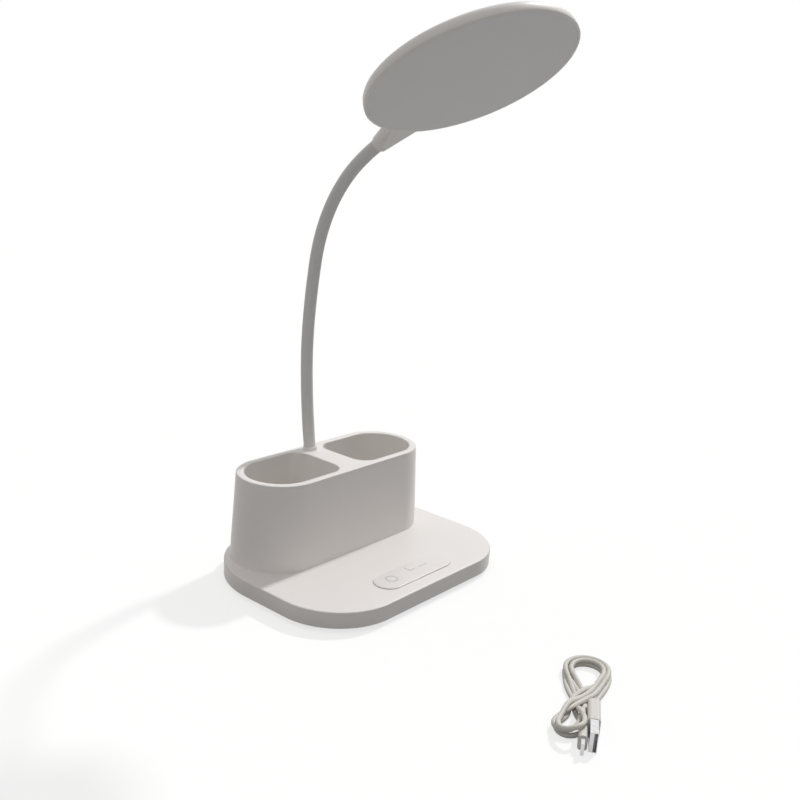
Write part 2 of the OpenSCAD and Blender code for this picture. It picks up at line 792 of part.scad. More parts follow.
module neck_nut() {
    color(steel) translate([0, neck_y, holder_top - top_plate - washer_t - nut_t]) difference() {
        cylinder(h = nut_t, r = nut_r, $fn = 6);
        translate([0, 0, -over]) cylinder(h = nut_t + 2 * over, r = stub_r + screw_fit);
    }
}

// Steel gooseneck section i: it ends in a ball that the next section turns on
module neck_core(i) {
    color(steel) difference() {
        union() {
            at_neck(i) neck_bar(i, core_r, i < neck_end - 1 ? over : core_tip);
            if (i < neck_end - 1) at_neck(i + 1) rotate_extrude() intersection() {
                circle(ball_r);
                square(ball_r);
            }
        }
        at_neck(i) neck_bar(i, core_bore_r, core_tip + over);
        section_start(i);
    }
}

// Rubber sleeve over gooseneck section i
module neck_sleeve(i) {
    color(white) difference() {
        at_neck(i) neck_bar(i, sleeve_r);
        at_neck(i) neck_bar(i, core_r);
        section_start(i);
    }
}

// What is cut off a section's lower end: the collar's floor below the first, a cup on the others
module section_start(i) {
    if (i == 0) at_neck(0) translate([-sleeve_d, -sleeve_d, -2 * sleeve_d])
        cube([2 * sleeve_d, 2 * sleeve_d, 2 * sleeve_d]);
    if (i == 0) translate([-sleeve_d, neck_y - sleeve_d, holder_top - sleeve_d])
        cube([2 * sleeve_d, 2 * sleeve_d, sleeve_d + collar_floor]);
    if (i > 0) at_neck(i) cup_space();
}

// Lead from the main board up through the neck's foot and its first section
module foot_lead() {
    color(lead_white) tube([
        [0, neck_y, main_board_top],
        [0, neck_y, holder_top / 2],
        [0, neck_y, holder_top - stub_l],
        [0, neck_y, holder_top - over],
        neck_point(0, neck_l[0] / 4),
        neck_point(0, neck_l[0] / 2),
        neck_point(0, neck_l[0]),
        neck_point(0, neck_l[0] + lead_end)
    ], lead_r);
}

// Lead inside neck section i
module neck_lead(i) {
    color(lead_white) difference() {
        at_neck(i) neck_bar(i, lead_r, lead_end);
        at_neck(i) translate([0, 0, -over]) cylinder(h = lead_start + over, r = sleeve_r);
    }
}

// Lead inside the last section, which runs on through the socket into the head
module last_lead() {
    last = neck_end - 1;
    color(lead_white) tube([
        neck_point(last, lead_start),
        neck_point(last, neck_l[last] / 2),
        past_end(0),
        past_end(core_tip),
        past_end(lead_tip)
    ], lead_r);
}

module neck_ferrule() {
    color(steel) at_neck(neck_end) difference() {
        translate([0, 0, over]) cylinder(h = core_tip - over, r = ferrule_r);
        in_last_section() neck_bar(neck_end - 1, core_r + screw_fit, core_tip + over);
    }
}

// ---------------------------------------------------------------- head

// Space for the lead along the socket's axis, from the neck's upper end into the head
module lead_space() {
    cylinder(h = lead_space_l, r = lead_r + part_gap);
}

// Half section of the head: a small lip below, a straight side and a rounded edge to its back
module head_section() {
    half = head_t / 2;
    side_top = -half + head_lip + head_side_h;
    arc_points = [
        for (k = [0 : head_arc_steps]) let (a = 90 * k / head_arc_steps)
            [head_r - head_back_in * (1 - cos(a)), side_top + (half - side_top) * sin(a)]
    ];
    polygon(concat([[0, -half], [head_r - head_lip, -half], [head_r, -half + head_lip]], arc_points,
                   [[0, half]]));
}

module head_shell() {
    half = head_t / 2;
    inside_top = half - head_wall;
    diffuser_r = head_r - diffuser_rim;
    color(white) at_head() difference() {
        rotate_extrude($fn = 192) head_section();
        translate([0, 0, -half - over]) cylinder(h = diffuser_t + over, r = diffuser_r, $fn = 192);
        translate([0, 0, -half - over])
            cylinder(h = half + over + inside_top, r = diffuser_r - ledge_ring, $fn = 192);
        translate([0, head_r - tongue_l / 2, inside_top - tongue_size[1] / 2])
            cube([tongue_size[0] + 2 * part_gap, tongue_l + 2 * over, tongue_size[1] + eps], center = true);
        translate([0, head_r + socket_len, 0]) rotate([90, 0, 0]) lead_space();
    }
}

module head_diffuser() {
    color([0.96, 0.96, 0.95]) at_head() translate([0, 0, -head_t / 2])
        cylinder(h = diffuser_t, r = head_r - diffuser_rim - part_gap / 2, $fn = 192);
}

module led_board() {
    inside_top = head_t / 2 - head_wall;
    r = head_r - diffuser_rim - ledge_ring - part_gap;
    color(pale) at_head() difference() {
        translate([0, 0, inside_top - led_board_t]) cylinder(h = led_board_t, r = r, $fn = 128);
        translate([0, head_r, inside_top])
            cube([tongue_size[0] + 2 * tongue_gap, 2 * (tongue_l + tongue_gap), 4 * led_board_t],
                 center = true);
    }
}

// Two thin wires from the neck's lead to the underside of the light board
module head_wires() {
    inside_top = head_t / 2 - head_wall;
    wire_z = inside_top - tongue_size[1] - head_wire_r - head_wire_gap;
    solder_y = head_r - tongue_l - 3;
    color(lead_white) at_head() for (side = [-1, 1]) tube([
        [head_wire_x * side, head_r - over, wire_z + 0.2],
        [head_wire_x * side, head_r - 5, wire_z],
        [3 * head_wire_x * side, solder_y + 3, wire_z],
        [3 * head_wire_x * side, solder_y, inside_top - led_board_t - head_wire_r]
    ], head_wire_r);
}

module led_chips() {
    chip_top = head_t / 2 - head_wall - led_board_t;
    color([0.97, 0.93, 0.62]) at_head() for (ring_def = led_rings, k = [0 : ring_def[1] - 1])
        rotate((k + 0.5) * 360 / ring_def[1]) translate([ring_def[0], 0, chip_top - led_size[2] / 2])
            cube(led_size, center = true);
}

// Tapered socket: round at the neck, flat and wide at the head, with a tongue glued into the shell
module head_socket() {
    inside_top = head_t / 2 - head_wall;
    color(white) at_neck(neck_end) difference() {
        union() {
            difference() {
                hull() {
                    cylinder(h = socket_slice, r = socket_mouth_r, $fn = 32);
                    translate([0, 0, socket_ring_z]) cylinder(h = socket_ring_h, r = socket_r, $fn = 32);
                    translate([0, 0, socket_len + socket_lap])
                        cube([socket_w, head_t, socket_slice], center = true);
                }
                translate([0, 0, socket_len + head_r]) rotate([-90, 0, 0])
                    rotate_extrude($fn = 192) head_section();
            }
            translate([0, inside_top - tongue_size[1] / 2, socket_len + tongue_l / 2 - over])
                cube([tongue_size[0], tongue_size[1], tongue_l + 2 * over], center = true);
        }
        translate([0, 0, -over]) cylinder(h = core_tip + 2 * over, r = ferrule_r + screw_fit);
        lead_space();
    }
}

// ---------------------------------------------------------------- charging cable

// Closed outer shape of the folded cable: a wide and a narrow round end with a waist between them
module cable_bundle() {
    a = wide_end_at;
    b = narrow_end_at;
    w = waist_at;
    color(pale) difference() {
        at_bundle() linear_extrude(bundle_h) {
            translate(a) circle(wide_end_r);
            translate(b) circle(narrow_end_r);
            polygon([
                [a[0], a[1] - wide_end_r], [w[0], w[1] - waist_half], [b[0], b[1] - narrow_end_r],
                [b[0], b[1] + narrow_end_r], [w[0], w[1] + waist_half], [a[0], a[1] + wide_end_r]
            ]);
        }
        at_usb_plug() plug_room(usb_grip);
        at_lamp_plug() plug_room(lamp_grip);
    }
}

module cable_tail_a() {
    color(pale) at_bundle() tube(tail_a_route, cable_r);
}

module cable_tail_b() {
    color(pale) at_bundle() tube(tail_b_route, cable_r);
}

module usb_plug_grip() {
    color(pale) at_usb_plug() grip_on_edge(usb_grip);
}

module usb_plug_shell() {
    h = usb_shell[1];
    t = usb_shell[2];
    color(zinc) at_usb_plug() translate([usb_grip[0], -t / 2, (usb_grip[1] - h) / 2]) difference() {
        cube([usb_shell[0], t, h]);
        translate([usb_floor, t - shell_wall - usb_slot, shell_wall])
            cube([usb_shell[0], usb_slot, h - 2 * shell_wall]);
    }
}

module lamp_plug_grip() {
    color(pale) at_lamp_plug() grip_on_edge(lamp_grip);
}

module lamp_plug_shell() {
    h = lamp_shell[1];
    t = lamp_shell[2];
    color(zinc) at_lamp_plug() translate([lamp_grip[0], -t / 2, (lamp_grip[1] - h) / 2])
        cube([lamp_shell[0], t, h]);
}

// ---------------------------------------------------------------- nodes

base_housing();
bottom_cover();
foot_pads();
cover_screws();
ballast_plate();
pen_holder();
holder_screws();
touch_panel();
touch_board();
battery_cell();
battery_tape();
main_board();
usb_socket();
board_parts();
board_screws();
battery_lead();
touch_lead();
neck_foot();
neck_washer();
neck_nut();
neck_core(0);  // neck_core_1
neck_core(1);  // neck_core_2
neck_core(2);  // neck_core_3
neck_core(3);  // neck_core_4
neck_core(4);  // neck_core_5
neck_core(5);  // neck_core_6
neck_core(6);  // neck_core_7
neck_sleeve(0);  // neck_sleeve_1
neck_sleeve(1);  // neck_sleeve_2
neck_sleeve(2);  // neck_sleeve_3
neck_sleeve(3);  // neck_sleeve_4
neck_sleeve(4);  // neck_sleeve_5
neck_sleeve(5);  // neck_sleeve_6
neck_sleeve(6);  // neck_sleeve_7
foot_lead();  // neck_lead_1
neck_lead(1);  // neck_lead_2
neck_lead(2);  // neck_lead_3
neck_lead(3);  // neck_lead_4
neck_lead(4);  // neck_lead_5
neck_lead(5);  // neck_lead_6
last_lead();  // neck_lead_7
neck_ferrule();
head_socket();
head_shell();
head_wires();
led_board();
led_chips();
head_diffuser();
cable_bundle();
cable_tail_a();
cable_tail_b();
usb_plug_grip();
usb_plug_shell();
lamp_plug_grip();
lamp_plug_shell();
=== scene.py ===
"""Looks of the desk lamp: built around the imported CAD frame, in metres, in the same frame."""

import json
import math

import bmesh
import bpy
import numpy as np
from mathutils import Matrix, Vector


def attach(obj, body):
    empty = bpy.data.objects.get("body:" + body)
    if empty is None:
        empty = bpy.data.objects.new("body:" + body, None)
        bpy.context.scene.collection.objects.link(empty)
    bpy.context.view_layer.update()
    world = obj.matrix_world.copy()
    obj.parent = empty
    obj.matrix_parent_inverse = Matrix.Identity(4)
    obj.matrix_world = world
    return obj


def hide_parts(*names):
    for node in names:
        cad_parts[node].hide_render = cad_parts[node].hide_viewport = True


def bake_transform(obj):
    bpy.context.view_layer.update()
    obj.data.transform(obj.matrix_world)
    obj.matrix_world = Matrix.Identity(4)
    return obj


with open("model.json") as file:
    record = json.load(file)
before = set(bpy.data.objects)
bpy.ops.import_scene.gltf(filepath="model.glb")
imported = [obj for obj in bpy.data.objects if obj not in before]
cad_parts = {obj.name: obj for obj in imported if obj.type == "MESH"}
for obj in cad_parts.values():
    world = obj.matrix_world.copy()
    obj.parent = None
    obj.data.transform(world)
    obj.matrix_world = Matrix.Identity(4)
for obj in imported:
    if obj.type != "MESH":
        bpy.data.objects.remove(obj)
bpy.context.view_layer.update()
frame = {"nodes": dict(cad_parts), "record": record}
scene = bpy.context.scene
MM = 0.001


def place(name, data):
    """A new object in the scene, for a mesh, a curve, a lamp or the camera."""
    placed = bpy.data.objects.new(name, data)
    scene.collection.objects.link(placed)
    return placed


# ---------------------------------------------------------------- camera

SENSOR = 36.0
LENS = 45.314
CLIP_FROM, CLIP_TO = 0.01, 20
CAMERA_AT = (-0.50200, -0.44934, 0.31586)
CAMERA_RIGHT = (0.65253, -0.75510, 0.06344)
CAMERA_DOWN = (-0.16437, -0.22277, -0.96091)
CAMERA_FORWARD = (0.73972, 0.61660, -0.26949)

camera_data = bpy.data.cameras.new("camera")
camera_data.sensor_width = SENSOR
camera_data.lens = LENS
camera_data.clip_start = CLIP_FROM
camera_data.clip_end = CLIP_TO
camera = place("camera", camera_data)
pose = Matrix((Vector(CAMERA_RIGHT), -Vector(CAMERA_DOWN), -Vector(CAMERA_FORWARD))).transposed().to_4x4()
pose.translation = Vector(CAMERA_AT)
camera.matrix_world = pose
scene.camera = camera
scene.view_settings.view_transform = "Standard"

# ---------------------------------------------------------------- materials


class Tree:
    """A node tree, with short calls to add and join nodes."""

    def __init__(self, tree):
        self.tree = tree

    def add(self, kind, **values):
        """A new node. Each value goes to the input of that name, or else to the node's own setting."""
        node = self.tree.nodes.new(kind)
        for key, value in values.items():
            if key in node.inputs:
                node.inputs[key].default_value = value
            else:
                setattr(node, key, value)
        return node

    def join(self, out_socket, in_socket):
        self.tree.links.new(out_socket, in_socket)

    def feed(self, in_socket, value):
        """Gives a socket a plain value or another node's output."""
        if isinstance(value, (tuple, float)):
            in_socket.default_value = value
        else:
            self.join(value, in_socket)

    def calc(self, operation, *values):
        node = self.add("ShaderNodeMath", operation=operation)
        for in_socket, value in zip(node.inputs, values):
            self.feed(in_socket, value)
        return node.outputs[0]

    def span(self, value, low, high):
        node = self.add("ShaderNodeMapRange")
        node.inputs["To Min"].default_value = low
        node.inputs["To Max"].default_value = high
        self.join(value, node.inputs["Value"])
        return node.outputs["Result"]


class Nodes(Tree):
    """A new material and its tree."""

    def __init__(self, name):
        self.material = bpy.data.materials.new(name)
        self.material.use_nodes = True
        super().__init__(self.material.node_tree)
        self.shader = self.tree.nodes["Principled BSDF"]

    def position(self):
        return self.add("ShaderNodeTexCoord").outputs["Object"]

    def noise(self, scale, detail=3.0, rough=0.5):
        node = self.add("ShaderNodeTexNoise", Scale=scale, Detail=detail, Roughness=rough)
        self.join(self.position(), node.inputs["Vector"])
        return node.outputs["Fac"]

    def bump(self, height, strength, distance, onto=None):
        node = self.add("ShaderNodeBump", Strength=strength, Distance=distance)
        self.join(height, node.inputs["Height"])
        if onto is not None:
            self.join(onto, node.inputs["Normal"])
        return node.outputs["Normal"]

    def mix(self, factor, a, b):
        """A mix of two colours. The mix node's colour sockets go by number, as their names repeat."""
        node = self.add("ShaderNodeMix", data_type="RGBA")
        for number, value in ((0, factor), (6, a), (7, b)):
            self.feed(node.inputs[number], value)
        return node.outputs[2]


def shade(colour, factor):
    return tuple(min(1.0, c * factor) for c in colour[:3]) + (1.0,)


def moulded(name, colour, rough=0.42, grain=900.0, depth=0.00004, specular=0.45, mottle=0.02):
    """Injection-moulded plastic: a fine spark-eroded grain, slight mottling, uneven gloss."""
    n = Nodes(name)
    cloud = n.noise(9.0, 2.0)
    tone = n.mix(cloud, shade(colour, 1 - mottle), shade(colour, 1 + mottle))
    n.join(tone, n.shader.inputs["Base Color"])
    n.join(n.span(n.noise(45.0, 4.0), rough - 0.05, rough + 0.06), n.shader.inputs["Roughness"])
    fine = n.noise(grain, 2.0, 0.6)
    n.join(n.bump(fine, 0.35, depth), n.shader.inputs["Normal"])
    n.shader.inputs["Specular IOR Level"].default_value = specular
    return n.material


def metal(name, colour, rough=0.3, streak=600.0):
    """Plated or rolled metal with fine scratches."""
    n = Nodes(name)
    stretch = n.add("ShaderNodeMapping")
    stretch.inputs["Scale"].default_value = (1.0, 0.12, 1.0)
    n.join(n.position(), stretch.inputs["Vector"])
    lines = n.add("ShaderNodeTexNoise", Scale=streak, Detail=4.0)
    n.join(stretch.outputs["Vector"], lines.inputs["Vector"])
    n.join(n.span(lines.outputs["Fac"], rough - 0.08, rough + 0.12), n.shader.inputs["Roughness"])
    n.join(n.mix(n.noise(30.0), shade(colour, 0.93), shade(colour, 1.05)), n.shader.inputs["Base Color"])
    n.join(n.bump(lines.outputs["Fac"], 0.15, 0.00002), n.shader.inputs["Normal"])
    n.shader.inputs["Metallic"].default_value = 1.0
    return n.material


def soft_skin(name, colour, rough=0.55, mottle=0.03):
    """Silicone or PVC: matt, with a faint long-wave unevenness and fine dust."""
    n = Nodes(name)
    dust = n.noise(260.0, 6.0, 0.7)
    tone = n.mix(n.span(dust, 0.0, 1.0), shade(colour, 1 - mottle), shade(colour, 1 + mottle))
    n.join(tone, n.shader.inputs["Base Color"])
    n.join(n.span(n.noise(70.0), rough - 0.06, rough + 0.08), n.shader.inputs["Roughness"])
    wave = n.bump(n.noise(120.0, 2.0), 0.2, 0.0002)
    n.join(n.bump(dust, 0.25, 0.00003, wave), n.shader.inputs["Normal"])
    n.shader.inputs["Specular IOR Level"].default_value = 0.35
    return n.material


def board(name, colour):
    """Lacquered circuit board: faint copper tracks below a glossy solder mask."""
    n = Nodes(name)
    weave = n.add("ShaderNodeTexBrick", Scale=260.0)
    weave.inputs["Mortar Size"].default_value = 0.03
    weave.inputs["Color1"].default_value = shade(colour, 1.0)
    weave.inputs["Color2"].default_value = shade(colour, 1.15)
    weave.inputs["Mortar"].default_value = shade(colour, 1.6)
    n.join(n.position(), weave.inputs["Vector"])
    n.join(weave.outputs["Color"], n.shader.inputs["Base Color"])
    n.join(n.span(n.noise(80.0), 0.22, 0.36), n.shader.inputs["Roughness"])
    n.join(n.bump(weave.outputs["Fac"], 0.2, 0.00003), n.shader.inputs["Normal"])
    return n.material


WHITE = (0.852, 0.822, 0.797)
MATERIALS = {
    "housing_white": moulded("housing_white", WHITE, 0.38),
    "holder_white": moulded("holder_white", WHITE, 0.4),
    "panel_white": moulded("panel_white", (0.835, 0.805, 0.78), 0.3, 1400.0, 0.00002),
    "shell_white": moulded("shell_white", WHITE, 0.4),
    "plug_white": moulded("plug_white", (0.71, 0.69, 0.65), 0.45),
    # Grey for the strips in the engraved marks: painted shade of the grooves, darker than the white panel
    "mark_groove_shade": moulded("mark_groove_shade", (0.66, 0.655, 0.65), 0.35, 1400.0, 0.00002),
    "diffuser_white": moulded("diffuser_white", (0.80, 0.79, 0.79), 0.5, 1600.0, 0.00003),
    "cover_grey": moulded("cover_grey", (0.10, 0.10, 0.105), 0.55, 500.0, 0.0001),
    "chip_black": moulded("chip_black", (0.02, 0.02, 0.022), 0.5),
    "cell_wrap": moulded("cell_wrap", (0.10, 0.16, 0.34), 0.25),
    "led_yellow": moulded("led_yellow", (0.85, 0.72, 0.28), 0.3),
    "collar_white": moulded("collar_white", WHITE, 0.35),
    "foot_rubber": soft_skin("foot_rubber", (0.03, 0.03, 0.03), 0.75),
    "tape": soft_skin("tape", (0.04, 0.04, 0.04), 0.85),
    "sleeve_white": soft_skin("sleeve_white", (0.72, 0.715, 0.70)),
    "lead_white": soft_skin("lead_white", (0.75, 0.75, 0.73)),
    "lead_red": soft_skin("lead_red", (0.5, 0.02, 0.015)),
    "lead_black": soft_skin("lead_black", (0.015, 0.015, 0.015)),
    "cable_white": soft_skin("cable_white", (0.69, 0.67, 0.62), 0.5),
    "screw_zinc": metal("screw_zinc", (0.56, 0.57, 0.58), 0.32),
    "ballast_steel": metal("ballast_steel", (0.34, 0.34, 0.35), 0.5),
    "tin_steel": metal("tin_steel", (0.62, 0.62, 0.63), 0.25),
    "goose_steel": metal("goose_steel", (0.45, 0.45, 0.46), 0.3),
    "board_green": board("board_green", (0.01, 0.10, 0.04)),
    "board_white": board("board_white", (0.72, 0.72, 0.70)),
}

# Moulded nodes whose bevels are shaded as rounded edges
SOFT_NODES = ("base_housing", "pen_holder", "touch_panel", "head_shell", "head_diffuser", "head_socket",
              "neck_foot", "usb_plug_grip", "lamp_plug_grip", "bottom_cover", "foot_pads")
SOFT_EDGE = math.radians(52)
MERGE_WITHIN = 0.005 * MM
NORMALS_BY_AREA = 90


def soft_edges():
    """Node group that joins a mesh's faces and shades them smooth, except over its sharpest edges."""
    group = bpy.data.node_groups.new("soft_edges", "GeometryNodeTree")
    group.interface.new_socket("Geometry", in_out="INPUT", socket_type="NodeSocketGeometry")
    group.interface.new_socket("Geometry", in_out="OUTPUT", socket_type="NodeSocketGeometry")
    link = group.links.new
    start = group.nodes.new("NodeGroupInput")
    end = group.nodes.new("NodeGroupOutput")
    merge = group.nodes.new("GeometryNodeMergeByDistance")
    merge.inputs["Distance"].default_value = MERGE_WITHIN
    smooth = group.nodes.new("GeometryNodeSetShadeSmooth")
    sharp = group.nodes.new("GeometryNodeSetShadeSmooth")
    sharp.domain = "EDGE"
    sharp.inputs["Shade Smooth"].default_value = False
    angle = group.nodes.new("GeometryNodeInputMeshEdgeAngle")
    steep = group.nodes.new("FunctionNodeCompare")
    steep.operation = "GREATER_THAN"
    steep.inputs["B"].default_value = SOFT_EDGE
    link(start.outputs["Geometry"], merge.inputs["Geometry"])
    link(merge.outputs["Geometry"], smooth.inputs["Geometry"])
    link(smooth.outputs["Geometry"], sharp.inputs["Geometry"])
    link(angle.outputs["Unsigned Angle"], steep.inputs["A"])
    link(steep.outputs["Result"], sharp.inputs["Selection"])
    link(sharp.outputs["Geometry"], end.inputs["Geometry"])
    return group


def soften(piece, group):
    """Makes the small bevels of a moulded piece catch the light as rounded edges."""
    piece.modifiers.new("soft_edges", "NODES").node_group = group
    normals = piece.modifiers.new("normals", "WEIGHTED_NORMAL")
    normals.keep_sharp = True
    normals.weight = NORMALS_BY_AREA


soft_group = soft_edges()
slot_of = {part["node"]: part["material_slot"] for part in frame["record"]["subparts"]}
for name, node in frame["nodes"].items():
    node.data.materials.clear()
    node.data.materials.append(MATERIALS[slot_of[name]])
    if name in SOFT_NODES:
        soften(node, soft_group)

# ---------------------------------------------------------------- charging cable

# The bundle's frame repeats part.scad, in millimetres, +X towards the plugs
BUNDLE_AT = (-32.0, -208.5)
BUNDLE_TURN = math.radians(207.5)
CABLE_D = 3.0
# Centre and outer radius of the bundle's two round ends, and the point where its turns cross
WIDE_END = ((-27.5, 1.5), 15.0)
NARROW_END = ((39.5, -3.8), 9.0)
WAIST = (5.0, 0.75)
USB_PLUG_BACK = (18.0, 6.9, 6.25)
LAMP_PLUG_BACK = (39.5, 2.7, 4.5)
# Plugs as boxes that the cable keeps clear of: back point, turn, length, half width, height
PLUG_BOXES = (
    ((18.0, 6.9), math.radians(3), 33.2, 3.5, 12.5),
    ((39.5, 2.7), math.radians(2), 11.0, 2.6, 9.0),
)
TOP_Z = 12.2

# Turns round the wide end: radius and height
LOW_LAYER, HIGH_LAYER = 1.6, 4.7
WIDE_TURNS = ((13.2, LOW_LAYER), (10.0, LOW_LAYER), (13.2, HIGH_LAYER), (10.0, HIGH_LAYER))
WIDE_ANGLES = (90, 125, 160, 195, 230, 262)
# Turns round the narrow end: centre, radius and a height at each angle
NARROW_TURNS = (
    ((38.6, -4.9), 5.2, (LOW_LAYER,) * 5),
    ((38.6, -4.9), 5.2, (HIGH_LAYER,) * 5),
    ((39.8, -2.9), 7.4, (10.6, 10.6, 10.2, 9.0, 8.0)),
)
NARROW_ANGLES = (90, 45, 0, -45, -90)
# How far beside the waist each turn passes, on its way to the narrow end and back
WAY_OUT = (-4.5, 0.6, -1.8, 3.2)
WAY_BACK = (-3.2, 3.2, 0.0)
WAY_BACK_Z = 4.8
USB_TAIL = [USB_PLUG_BACK, (12, 6.9, 5.2), (6, 7.6, 3.6), (-1, 8.8, 2.2), (-9, 10.6, LOW_LAYER),
            (-20, 13.2, LOW_LAYER)]
LAMP_TAIL = [(17, 0.0, 1.7), (25, -0.6, 2.4), (32, 0.9, 3.6), LAMP_PLUG_BACK]

# Settling of the cable: the step between its points, the tightest bend aimed at, and the number of rounds
STEP = 2.5
MIN_BEND_R = 2.15 * CABLE_D
RELAX_ROUNDS = 500
LENGTH_ROUNDS = 6
# Turns keep this many diameters apart, except points that are neighbours along the cable, also in diameters
KEEP_APART = 1.02
NEIGHBOURS = 1.6
# How much of each fault one round mends: uneven bends, tight bends (up to a most), wrong steps
EVEN_SHARE = 0.22
UNBEND_SHARE, UNBEND_MOST = 0.5, 0.3
LENGTH_SHARE = 0.45
# How far the cable sinks in a round, and how many points at each end may be inside a plug
SINK = 0.004
FIXED_POINTS = 3


def arc(centre, radius, z, degrees):
    x, y = centre
    turns = [math.radians(g) for g in degrees]
    return [(x + radius * math.cos(t), y + radius * math.sin(t), z) for t in turns]


def cable_route():
    """Listed points for four turns of a figure of eight, from one plug to the other."""
    outer = WIDE_TURNS[0][0]
    route = list(USB_TAIL)
    for turn, (radius, z) in enumerate(WIDE_TURNS):
        route += arc(WIDE_END[0], radius, z, WIDE_ANGLES)
        route.append((-14, -8 + (outer - radius) * 0.6, (z + LOW_LAYER) / 2))
        route.append((WAIST[0], WAIST[1] + WAY_OUT[turn], LOW_LAYER))
        if turn == len(NARROW_TURNS):
            break
        centre, bend_r, heights = NARROW_TURNS[turn]
        next_radius, next_z = WIDE_TURNS[turn + 1]
        route.append((20, 0.2, (heights[0] + LOW_LAYER) / 2))
        for angle, up in zip(NARROW_ANGLES, heights):
            route += arc(centre, bend_r, up, (angle,))
        route.append((22, -7.0, (heights[-1] + HIGH_LAYER) / 2))
        route.append((WAIST[0], WAIST[1] + WAY_BACK[turn], WAY_BACK_Z))
        route.append((-14, 9.5 - (outer - next_radius) * 0.6, (next_z + HIGH_LAYER) / 2))
    return route + LAMP_TAIL


def smooth_line(points, step):
    """Points a step apart along a smooth curve through the given points."""
    p = np.asarray(points, float)
    ends = np.vstack([2 * p[0] - p[1], p, 2 * p[-1] - p[-2]])
    t = np.linspace(0, 1, 40, endpoint=False)[:, None]
    runs = []
    for p0, p1, p2, p3 in zip(ends, ends[1:], ends[2:], ends[3:]):
        cubic = (-p0 + 3 * p1 - 3 * p2 + p3) * t**3
        square = (2 * p0 - 5 * p1 + 4 * p2 - p3) * t**2
        runs.append(0.5 * (2 * p1 + (p2 - p0) * t + square + cubic))
    dense = np.vstack(runs + [p[-1:]])
    s = np.r_[0, np.cumsum(np.linalg.norm(np.diff(dense, axis=0), axis=1))]
    at = np.linspace(0, s[-1], int(round(s[-1] / step)) + 1)
    return np.column_stack([np.interp(at, s, dense[:, k]) for k in range(3)])


def keep_clear(line, radius, back, turn, length, half_width, height):
    """Moves the points that are inside a plug's box up over it or out on its inner side."""
    along = np.array((math.cos(turn), math.sin(turn)))
    across = np.array((-math.sin(turn), math.cos(turn)))
    flat = line[:, :2] - back
    u, v = flat @ along, flat @ across
    inside = (u > 0.2) & (u < length + radius) & (abs(v) < half_width + radius)
    inside &= line[:, 2] < height + radius
    up = height + radius - line[:, 2]
    out = v + half_width + radius
    over = inside & (up < out)
    line[over, 2] = height + radius
    aside = inside & ~over
    line[aside, :2] -= out[aside, None] * across


def settle(line):
    """Lets the cable find its own place: turns push each other apart, it stays smooth, long and down."""
    count = len(line)
    step = np.linalg.norm(np.diff(line, axis=0), axis=1).mean()
    radius = CABLE_D / 2
    reach = CABLE_D * KEEP_APART
    first, second = np.triu_indices(count, int(math.ceil(NEIGHBOURS * CABLE_D / step)) + 1)
    start, end = line[0].copy(), line[-1].copy()
    into_start = (line[1] - start) / np.linalg.norm(line[1] - start) * step
    into_end = (line[-2] - end) / np.linalg.norm(line[-2] - end) * step
    for _ in range(RELAX_ROUNDS):
        apart = line[first] - line[second]
        distance = np.linalg.norm(apart, axis=1)
        near = distance < reach
        push = (0.5 * (reach - distance[near]) / np.maximum(distance[near], 1e-6))[:, None] * apart[near]
        moved = np.zeros_like(line)
        hits = np.zeros(count)
        for index, sign in ((first[near], 1), (second[near], -1)):
            np.add.at(moved, index, sign * push)
            np.add.at(hits, index, 1)
        line = line + moved / np.maximum(hits, 1)[:, None]
        bend = np.zeros_like(line)
        bend[1:-1] = (line[:-2] + line[2:]) / 2 - line[1:-1]
        even = np.zeros_like(line)
        even[2:-2] = bend[2:-2] - (bend[1:-3] + bend[3:-1]) / 2
        line = line + EVEN_SHARE * even
        tightness = 2 * np.linalg.norm(bend[1:-1], axis=1) / step**2
        unbend = np.clip((tightness * MIN_BEND_R - 1) * UNBEND_SHARE, 0, UNBEND_MOST)
        line[1:-1] += unbend[:, None] * bend[1:-1]
        line[:, 2] -= SINK
        for _ in range(LENGTH_ROUNDS):
            for part in (slice(0, None, 2), slice(1, None, 2)):
                edge = line[1:] - line[:-1]
                size = np.linalg.norm(edge, axis=1)
                fix = (LENGTH_SHARE * (size - step) / size)[:, None] * edge
                line[:-1][part] += fix[part]
                line[1:][part] -= fix[part]
        line[:, 2] = np.clip(line[:, 2], radius, TOP_Z - radius)
        for plug in PLUG_BOXES:
            keep_clear(line[FIXED_POINTS:-FIXED_POINTS], radius, *plug)
        for (centre, wall), side in ((WIDE_END, -1), (NARROW_END, 1)):
            flat = line[:, :2] - centre
            far = np.linalg.norm(flat, axis=1)
            out = (far > wall - radius) & (flat[:, 0] * side > 0)
            line[out, :2] = centre + flat[out] * ((wall - radius) / far[out])[:, None]
        line[0], line[1], line[-1], line[-2] = start, start + into_start, end, end + into_end
    return line


def to_row(points):
    """Bundle-frame millimetres to row-frame metres."""
    c, s = math.cos(BUNDLE_TURN), math.sin(BUNDLE_TURN)
    p = np.asarray(points, float)
    x = BUNDLE_AT[0] + p[:, 0] * c - p[:, 1] * s
    y = BUNDLE_AT[1] + p[:, 0] * s + p[:, 1] * c
    return np.column_stack([x, y, p[:, 2]]) * MM


def curve_tube(name, points, radius, material):
    data = bpy.data.curves.new(name, "CURVE")
    data.dimensions = "3D"
    data.bevel_depth = radius
    data.bevel_resolution = 5
    data.use_fill_caps = True
    data.resolution_u = 4
    spline = data.splines.new("POLY")
    spline.points.add(len(points) - 1)
    for target, point in zip(spline.points, points):
        target.co = (*point, 1)
    data.materials.append(material)
    return place(name, data)


cable_line = to_row(settle(smooth_line(cable_route(), STEP)))
cable = curve_tube("charging_cable", cable_line, CABLE_D / 2 * MM, MATERIALS["cable_white"])
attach(cable, "base")
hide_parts("cable_bundle", "cable_tail_a", "cable_tail_b")

# ---------------------------------------------------------------- neck

